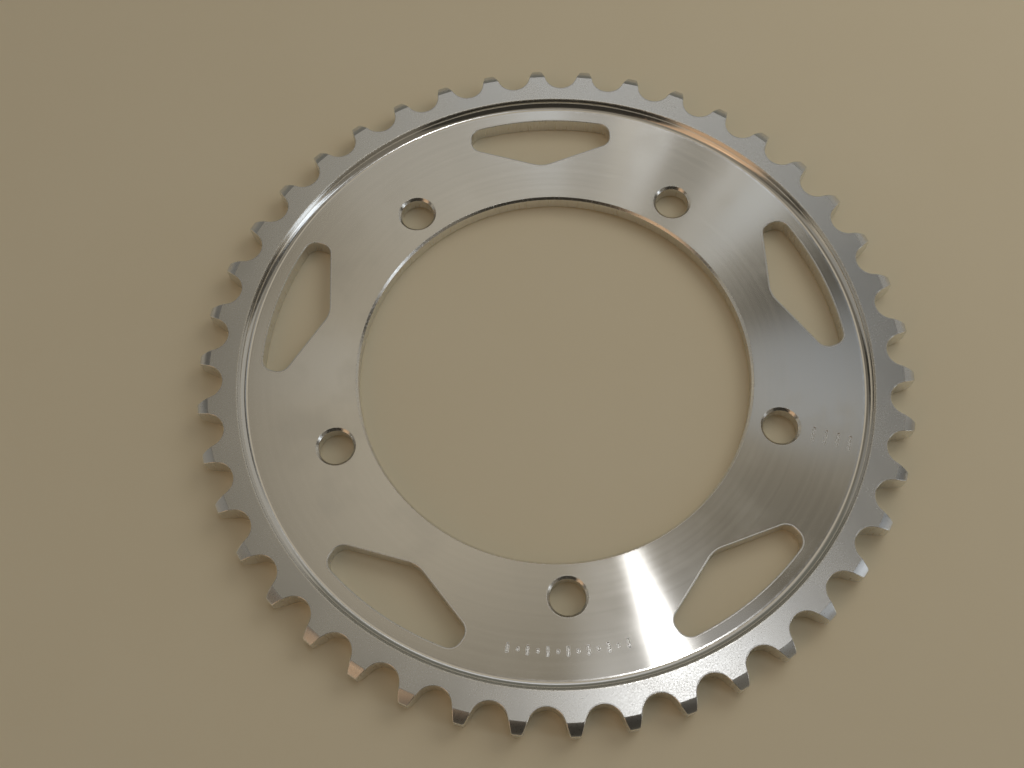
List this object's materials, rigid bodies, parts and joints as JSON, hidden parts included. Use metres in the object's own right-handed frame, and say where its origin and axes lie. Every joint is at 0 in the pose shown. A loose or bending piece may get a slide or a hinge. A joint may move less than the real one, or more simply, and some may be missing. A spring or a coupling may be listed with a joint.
{
  "type": "rear chain sprocket",
  "caption": "Flat motorcycle rear sprocket: a thick toothed rim round a thinner turned web with a large pilot bore, bolt holes and weight-saving windows.",
  "frame": {"origin": "on the wheel axis, at the flat back face that bolts against the hub", "axes": "+Z along the wheel axis out of the turned front face, -Y through a bolt hole and +Y through the middle of a window"},
  "size_m": [0.2172, 0.2176, 0.0086],
  "materials": {
    "plate": "turned web, frosted rim, bright edges"
  },
  "bodies": {
    "root": {"sprocket_plate": "plate"}
  },
  "joints": []
}
